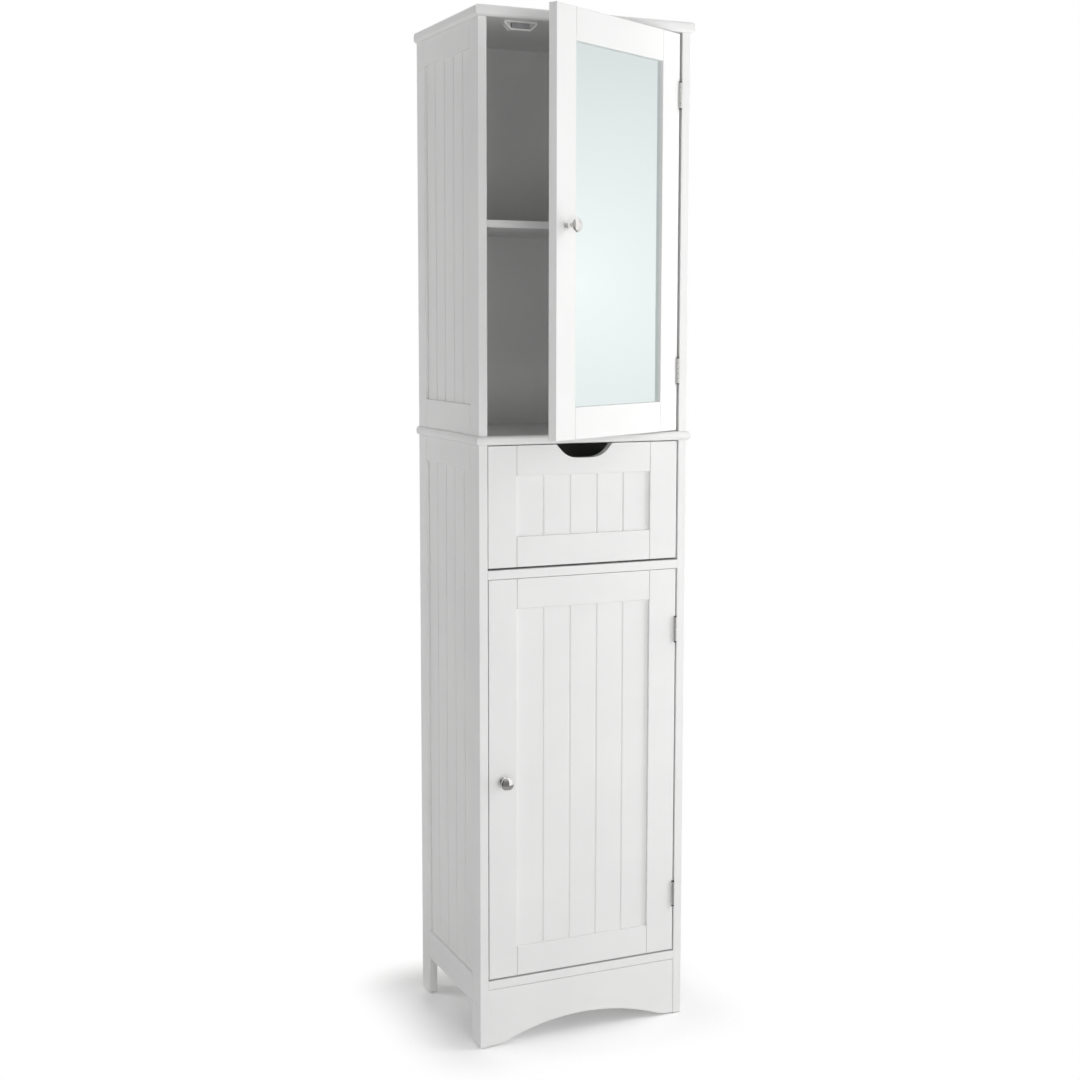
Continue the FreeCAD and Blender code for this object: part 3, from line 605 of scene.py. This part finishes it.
def screw_tree(material):
    """The whole tree: heads and shanks on the points, made real, in one finish."""
    tree = bpy.data.node_groups.new("cross_slot_screws", "GeometryNodeTree")
    socket = tree.interface.new_socket
    socket("Places", in_out="INPUT", socket_type="NodeSocketGeometry")
    for name, kind in (("Slot Length", "Float"), ("Slot Width", "Float"), ("Seed", "Int")):
        socket(name, in_out="INPUT", socket_type="NodeSocket" + kind)
    socket("Screws", in_out="OUTPUT", socket_type="NodeSocketGeometry")
    group = tree.nodes.new("NodeGroupInput")
    rotation = facing_by_chance(tree, group)
    rod = node(tree, "GeometryNodeMeshCylinder", Vertices=SHANK_SIDES, Radius=1.0, Depth=UNIT_LENGTH)
    sunk = node(tree, "GeometryNodeTransform", Translation=(0, 0, -UNIT_LENGTH / 2))
    tree.links.new(rod.outputs["Mesh"], sunk.inputs["Geometry"])
    joined = tree.nodes.new("GeometryNodeJoinGeometry")
    heads = set_on_points(tree, group, cross_head(tree, group), rotation, "head_radius", "head_height")
    shanks = set_on_points(tree, group, sunk.outputs["Geometry"], rotation, "shank_radius", "shank_length")
    real = tree.nodes.new("GeometryNodeRealizeInstances")
    coated = node(tree, "GeometryNodeSetMaterial", Material=material)
    result = tree.nodes.new("NodeGroupOutput")
    for part in (heads, shanks):
        tree.links.new(part, joined.inputs["Geometry"])
    tree.links.new(joined.outputs["Geometry"], real.inputs["Geometry"])
    tree.links.new(real.outputs["Geometry"], coated.inputs["Geometry"])
    tree.links.new(coated.outputs["Geometry"], result.inputs["Screws"])
    return tree


screws_tree = screw_tree(finishes["zinc_steel"])
print("screw tree with", len(screws_tree.nodes), "nodes")

# %% [markdown]
# ## Setting the screws
#
# The longest side of a packed screw's box is its axis, and the body it belongs to says which end is the head:
# on the cabinet hinge screws look left and catch screws down, on a door they look right or backwards. A mesh
# of bare points carries these facts into the tree. The evaluated result is copied to a plain mesh, one for
# each body, so nothing live is left.

# %% Screws on the cabinet and the doors
SLOT_LENGTH = 1.15
SLOT_WIDTH = 0.24
CHANCE_SEED = 7
FLAT_HEAD = 0.2 * MM
SHANK_SHARE = 0.5
X, Y, Z = range(3)
HEAD_LOOKS = {
    "cabinet": {X: Vector((-1, 0, 0)), Z: Vector((0, 0, -1))},
    "upper_door": {X: Vector((1, 0, 0)), Y: Vector((0, 1, 0))},
    "lower_door": {X: Vector((1, 0, 0)), Y: Vector((0, 1, 0))},
}
CATCH_SCREW_DOME = 2.0 * MM
KNOB_SCREW_DOME = 2.4 * MM
DOMED = {
    ("cabinet", Z): CATCH_SCREW_DOME,
    ("upper_door", Y): KNOB_SCREW_DOME,
    ("lower_door", Y): KNOB_SCREW_DOME,
}
LEAST_KNOB_SCREW_RADIUS = 3.0 * MM
LEAST_HEAD_ROOM = 1.0 * MM
SCREW_INPUTS = {"Slot Length": SLOT_LENGTH, "Slot Width": SLOT_WIDTH, "Seed": CHANCE_SEED}


def screw_point(box, body):
    """The place and the facts of one screw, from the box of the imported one."""
    size = box[1] - box[0]
    axis = max(range(3), key=lambda i: size[i])
    looks = HEAD_LOOKS[body][axis]
    radius = max(size[i] for i in range(3) if i != axis) / 2
    tall = DOMED.get((body, axis), FLAT_HEAD)
    if axis == Y and radius < LEAST_KNOB_SCREW_RADIUS:
        tall = FLAT_HEAD
    seat = (box[0] + box[1]) / 2 + looks * (size[axis] / 2)
    if tall > FLAT_HEAD:
        seat -= looks * tall
    return seat, looks, (radius, tall, radius * SHANK_SHARE, size[axis] - max(tall, LEAST_HEAD_ROOM))


def made_by_nodes(points, tree, inputs):
    """The plain mesh that a node tree makes from points with facts."""
    carrier_mesh = bpy.data.meshes.new("places")
    carrier_mesh.from_pydata([place for place, looks, facts in points], [], [])
    facing = carrier_mesh.attributes.new("facing", "FLOAT_VECTOR", "POINT")
    facing.data.foreach_set("vector", [c for place, looks, facts in points for c in looks])
    for index, name in enumerate(SCREW_FACTS):
        fact = carrier_mesh.attributes.new(name, "FLOAT", "POINT")
        fact.data.foreach_set("value", [facts[index] for place, looks, facts in points])
    carrier = bpy.data.objects.new("places", carrier_mesh)
    bpy.context.scene.collection.objects.link(carrier)
    modifier = carrier.modifiers.new("screws", "NODES")
    modifier.node_group = tree
    for item in tree.interface.items_tree:
        if item.name in inputs:
            modifier[item.identifier] = inputs[item.name]
    depsgraph = bpy.context.evaluated_depsgraph_get()
    mesh = bpy.data.meshes.new_from_object(carrier.evaluated_get(depsgraph), depsgraph=depsgraph)
    bpy.data.objects.remove(carrier)
    return mesh


for body in HEAD_LOOKS:
    packed_screws = body + "_screws"
    points = [screw_point(box, body) for box in solids_of(packed_screws, body)]
    mesh = made_by_nodes(points, screws_tree, SCREW_INPUTS)
    screws = settle(mesh, body + "_cross_screws", body, "zinc_steel", [packed_screws])
    print(screws.name, len(points), "screws,", len(screws.data.polygons), "faces")

# %% [markdown]
# ## Floor and backdrop
#
# The photograph shows the cabinet on a white ground that fades into white, with a soft shadow round the feet.
# A sheet of paper swept up behind would do, but its bend would show from other sides. A wide flat floor is
# simpler: near the feet it shades as paint does, further out it turns into plain white, and the world behind
# it is the same white to the eye and to anything shiny. For the light itself the world stays dimmer.

# %% Floor and world
FLOOR_HALF = 8.0
FLOOR_WHITE = 0.82
FLOOR_EXTRA = 0.44
FOOTPRINT_HALF = (0.188, 0.147, 0.0)
FADE_LENGTH = 0.14
SKY_FOR_LIGHT = 0.28


def seen_or_mirrored(tree):
    """One for rays from the eye, from shiny things and through glass, and zero for rays that carry light."""
    path = tree.nodes.new("ShaderNodeLightPath")
    total = path.outputs["Is Camera Ray"]
    for name in ("Is Glossy Ray", "Is Transmission Ray"):
        total = maths(tree, "MAXIMUM", total, path.outputs[name])
    return total


def mixed(tree, factor, first, second):
    """Two shaders, mixed by a factor."""
    mix = tree.nodes.new("ShaderNodeMixShader")
    tree.links.new(factor, mix.inputs[0])
    tree.links.new(first, mix.inputs[1])
    tree.links.new(second, mix.inputs[2])
    return mix.outputs["Shader"]


def away_from_footprint(tree):
    """How far a point of the floor lies outside the cabinet's footprint."""
    vector = tree.nodes.new("ShaderNodeTexCoord").outputs["Object"]
    for operation, other in (("ABSOLUTE", None), ("SUBTRACT", FOOTPRINT_HALF), ("MAXIMUM", (0, 0, 0))):
        step = tree.nodes.new("ShaderNodeVectorMath")
        step.operation = operation
        tree.links.new(vector, step.inputs[0])
        if other:
            step.inputs[1].default_value = other
        vector = step.outputs["Vector"]
    far = tree.nodes.new("ShaderNodeVectorMath")
    far.operation = "LENGTH"
    tree.links.new(vector, far.inputs[0])
    return far.outputs["Value"]


def floor_finish():
    """White paper that keeps the shadow near the feet and fades into plain white."""
    material = bpy.data.materials.new("studio_floor")
    material.use_nodes = True
    tree = material.node_tree
    tree.nodes.clear()
    paper = node(tree, "ShaderNodeBsdfDiffuse", Color=(FLOOR_WHITE, FLOOR_WHITE, FLOOR_WHITE, 1))
    extra = node(tree, "ShaderNodeBsdfDiffuse", Color=(FLOOR_EXTRA, FLOOR_EXTRA, FLOOR_EXTRA, 1))
    white = node(tree, "ShaderNodeEmission", Strength=1.0)
    lifted = tree.nodes.new("ShaderNodeAddShader")
    tree.links.new(paper.outputs["BSDF"], lifted.inputs[0])
    tree.links.new(extra.outputs["BSDF"], lifted.inputs[1])
    fade = node(tree, "ShaderNodeMapRange", From_Max=FADE_LENGTH)
    fade.interpolation_type = "SMOOTHSTEP"
    tree.links.new(away_from_footprint(tree), fade.inputs["Value"])
    shown = mixed(tree, fade.outputs["Result"], lifted.outputs["Shader"], white.outputs["Emission"])
    both = mixed(tree, seen_or_mirrored(tree), paper.outputs["BSDF"], shown)
    tree.links.new(both, tree.nodes.new("ShaderNodeOutputMaterial").inputs["Surface"])
    return material


floor_mesh = bpy.data.meshes.new("floor")
corner_signs = ((-1, -1), (1, -1), (1, 1), (-1, 1))
floor_mesh.from_pydata([(x * FLOOR_HALF, y * FLOOR_HALF, 0) for x, y in corner_signs], [], [(0, 1, 2, 3)])
floor_mesh.materials.append(floor_finish())
floor = bpy.data.objects.new("floor", floor_mesh)
bpy.context.scene.collection.objects.link(floor)

world = bpy.data.worlds.new("studio")
bpy.context.scene.world = world
world.use_nodes = True
sky_tree = world.node_tree
sky_tree.nodes.clear()
dim = node(sky_tree, "ShaderNodeBackground", Color=(1, 1, 1, 1), Strength=SKY_FOR_LIGHT)
bright = node(sky_tree, "ShaderNodeBackground", Color=(1, 1, 1, 1), Strength=1.0)
skies = (dim.outputs["Background"], bright.outputs["Background"])
sky = mixed(sky_tree, seen_or_mirrored(sky_tree), *skies)
sky_tree.links.new(sky, sky_tree.nodes.new("ShaderNodeOutputWorld").inputs["Surface"])
print("floor of", 2 * FLOOR_HALF, "m, sky", SKY_FOR_LIGHT)

# %% [markdown]
# ## Light
#
# In the photograph the open door is the brightest face, the fronts get a little darker towards the left, the
# left side is darker again, and the inside is grey. One wide lamp would be simpler, but it can't give all of
# these at once, so seven soft lamps share the work. A tall one close by on the right lights the open door,
# and a weak one further off carries that light across the fronts. The main light comes from straight ahead,
# which leaves the narrow steps of the side panels dark, and a low one near the camera reaches up under the
# top board. A lamp from the left and behind lifts the side and draws its grooves, one from behind lights the
# back, and a small one hangs over the top board, which shades nearly everything else from it. Shiny things
# don't see the lamps, since the mirror would show them as white squares.

# %% Lamps
LAMPS = {
    "key_softbox": (Vector((1.05, -0.62, 1.35)), Vector((0.0, -0.2, 1.3)), (0.7, 2.3), 12.2),
    "right_softbox": (Vector((1.7, -2.5, 1.4)), Vector((0.0, -0.15, 0.95)), (1.4, 2.2), 5.0),
    "side_softbox": (Vector((-2.2, 1.5, 1.2)), Vector((0.0, 0.0, 0.95)), (1.2, 2.2), 21.0),
    "centre_softbox": (Vector((-0.2, -3.4, 1.0)), Vector((0.0, -0.15, 0.85)), (1.2, 1.9), 26.0),
    "front_softbox": (Vector((-1.4, -3.0, 0.6)), Vector((0.0, -0.15, 1.3)), (1.6, 1.0), 12.0),
    "back_softbox": (Vector((0.9, 3.0, 1.5)), Vector((0.0, 0.0, 0.95)), (1.6, 2.2), 14.0),
    "top_softbox": (Vector((0.0, 0.0, 2.3)), Vector((0.0, 0.0, 1.7)), (0.3, 0.24), 1.3),
}

for name, (place, target, size, power) in LAMPS.items():
    lamp_data = bpy.data.lights.new(name, "AREA")
    lamp_data.shape = "RECTANGLE"
    lamp_data.size, lamp_data.size_y = size
    lamp_data.energy = power
    lamp = bpy.data.objects.new(name, lamp_data)
    lamp.location = place
    lamp.rotation_euler = (target - place).to_track_quat("-Z", "Y").to_euler()
    lamp.visible_camera = False
    lamp.visible_glossy = False
    bpy.context.scene.collection.objects.link(lamp)
    print(name, "of", size, "m at", power, "W")

# %% [markdown]
# ## What the shiny pieces see
#
# Chrome only looks like chrome with something dark in it. So two sheets hang like curtains in an arc round the
# cabinet, and they are painted reflections: the left one glows dark at the height of the knobs, as painted
# shade, and the front one glows grey and gets lighter upwards. A grey mat lies before the feet as a painted
# reflection of shaded floor, and a pale card stands on the right, where the mirror looks, as a painted bright
# reflection, bright in its middle and greyer outwards. None of them is seen by the camera or blocks any light:
# they are there for reflections alone. They glow by themselves, so their greys don't depend on the lamps.

# %% Painted reflections: curtains, grey mat and pale card
CURTAIN_RADIUS = 0.9
CURTAIN_HEIGHT = 4.0
# Each curtain glows in the greys given for shares of its height. These are painted reflections of shade.
CURTAINS = {
    "left_curtain": ((-150, -55), ((0.0, 0.3), (0.07, 0.06), (0.42, 0.06), (0.55, 0.3), (1.0, 0.4))),
    "front_curtain": ((-55, 10), ((0.0, 0.3), (0.07, 0.16), (0.2, 0.2), (0.3, 0.45), (1.0, 0.5))),
}
# The mat glows an even grey, as a painted reflection of shaded floor for the knobs.
MAT_RADII = (0.25, 1.4)
FLOOR_SHADE_GREYS = ((0.0, 0.32), (1.0, 0.32))
MAT_SPAN = (-150, 100)
MAT_LIFT = 0.005
ARC_STEPS = 24
# The pale card glows brighter than white in its middle, as a painted bright reflection for the mirror.
PALE_MIDDLE = (1.6, -0.45, 1.3)
PALE_CORNERS = ((0, -0.6, -1.3), (0, 0.9, -1.3), (0, 0.9, 1.2), (0, -0.6, 1.2))
PALE_REACH = 0.6
PALE_GREYS = ((0.0, 1.07), (1.0, 0.82))


def glowing(name, greys, distance_of):
    """A material that glows in greys, each given for a share of some distance."""
    material = bpy.data.materials.new(name)
    material.use_nodes = True
    tree = material.node_tree
    tree.nodes.clear()
    glow = tree.nodes.new("ShaderNodeEmission")
    curve = tree.nodes.new("ShaderNodeFloatCurve")
    points = curve.mapping.curves[0].points
    for share, grey in greys[1:-1]:
        points.new(share, grey)
    curve.mapping.clip_max_y = max(grey for share, grey in greys)
    for point, place in zip(points, greys):
        point.location = place
        point.handle_type = "VECTOR"
    curve.mapping.update()
    tree.links.new(distance_of(tree), curve.inputs["Value"])
    tree.links.new(curve.outputs["Value"], glow.inputs["Strength"])
    tree.links.new(glow.outputs["Emission"], tree.nodes.new("ShaderNodeOutputMaterial").inputs["Surface"])
    return material


def share_of_height(tree):
    """How far up the curtain a point lies."""
    parts = tree.nodes.new("ShaderNodeSeparateXYZ")
    share = node(tree, "ShaderNodeMapRange", From_Max=CURTAIN_HEIGHT)
    tree.links.new(own_coordinates(tree), parts.inputs["Vector"])
    tree.links.new(parts.outputs["Z"], share.inputs["Value"])
    return share.outputs["Result"]


def share_of_reach(tree):
    """How far from the card's middle a point lies."""
    outwards = tree.nodes.new("ShaderNodeVectorMath")
    outwards.operation = "LENGTH"
    share = node(tree, "ShaderNodeMapRange", From_Max=PALE_REACH)
    tree.links.new(own_coordinates(tree), outwards.inputs[0])
    tree.links.new(outwards.outputs["Value"], share.inputs["Value"])
    return share.outputs["Result"]


def reflected_card(name, corners, faces, finish):
    """A sheet that only reflections show."""
    mesh = bpy.data.meshes.new(name)
    mesh.from_pydata(corners, [], faces)
    mesh.materials.append(finish)
    card = bpy.data.objects.new(name, mesh)
    for unseen_by in ("camera", "diffuse", "transmission", "volume_scatter", "shadow"):
        setattr(card, "visible_" + unseen_by, False)
    bpy.context.scene.collection.objects.link(card)
    return card


def arc_sheet(span, first_ring, last_ring):
    """Points and faces of a sheet round the cabinet, between two arcs of a given radius and height."""
    turns = [math.radians(span[0] + (span[1] - span[0]) * step / ARC_STEPS) for step in range(ARC_STEPS + 1)]
    points = []
    for radius, height in (first_ring, last_ring):
        points += [(math.sin(turn) * radius, -math.cos(turn) * radius, height) for turn in turns]
    row = len(turns)
    return points, [(i, i + 1, i + 1 + row, i + row) for i in range(ARC_STEPS)]


for name, (span, greys) in CURTAINS.items():
    hung = arc_sheet(span, (CURTAIN_RADIUS, MAT_LIFT), (CURTAIN_RADIUS, CURTAIN_HEIGHT))
    reflected_card(name, *hung, glowing(name, greys, share_of_height))
laid = arc_sheet(MAT_SPAN, *((radius, MAT_LIFT) for radius in MAT_RADII))
reflected_card("floor_shade_reflection", *laid, glowing("floor_shade_reflection", FLOOR_SHADE_GREYS, share_of_height))
pale_glow = glowing("pale_bright_reflection", PALE_GREYS, share_of_reach)
pale_bright_reflection = reflected_card("pale_bright_reflection", PALE_CORNERS, [(0, 1, 2, 3)], pale_glow)
pale_bright_reflection.location = PALE_MIDDLE
print(len(CURTAINS), "curtains, mat over", MAT_SPAN, "degrees, pale card at", PALE_MIDDLE)

# %% [markdown]
# ## Camera
#
# The camera's place and angles were worked out from edges of the cabinet that are square in reality: with
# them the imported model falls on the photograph. The picture was cropped off centre, which the small shift
# repeats.

# %% Camera
CAMERA_PLACE = Vector((-1.13826, -2.63289, 1.20749))
CAMERA_YAW = 0.4262
CAMERA_DIP = 0.1096
CAMERA_ROLL = 0.0038
PHOTO_PIXELS = 1080
FOCAL_PIXELS = 1661.12
CENTRE_PIXEL = (580, 505)
SENSOR_MM = 36

ahead = Vector((
    math.sin(CAMERA_YAW) * math.cos(CAMERA_DIP),
    math.cos(CAMERA_YAW) * math.cos(CAMERA_DIP),
    -math.sin(CAMERA_DIP),
))
level = Vector((math.cos(CAMERA_YAW), -math.sin(CAMERA_YAW), 0))
upright = level.cross(ahead)
across = level * math.cos(CAMERA_ROLL) + upright * math.sin(CAMERA_ROLL)
above = upright * math.cos(CAMERA_ROLL) - level * math.sin(CAMERA_ROLL)
camera_data = bpy.data.cameras.new("camera")
camera_data.sensor_width = SENSOR_MM
camera_data.lens = FOCAL_PIXELS / PHOTO_PIXELS * SENSOR_MM
camera_data.shift_x = (PHOTO_PIXELS / 2 - CENTRE_PIXEL[0]) / PHOTO_PIXELS
camera_data.shift_y = (CENTRE_PIXEL[1] - PHOTO_PIXELS / 2) / PHOTO_PIXELS
camera = bpy.data.objects.new("camera", camera_data)
camera.matrix_world = Matrix.Translation(CAMERA_PLACE) @ Matrix((across, above, -ahead)).transposed().to_4x4()
bpy.context.scene.collection.objects.link(camera)
bpy.context.scene.camera = camera
bpy.context.scene.view_settings.view_transform = "Standard"
shift = (round(camera_data.shift_x, 4), round(camera_data.shift_y, 4))
print("lens", round(camera_data.lens, 2), "mm, shift", shift)
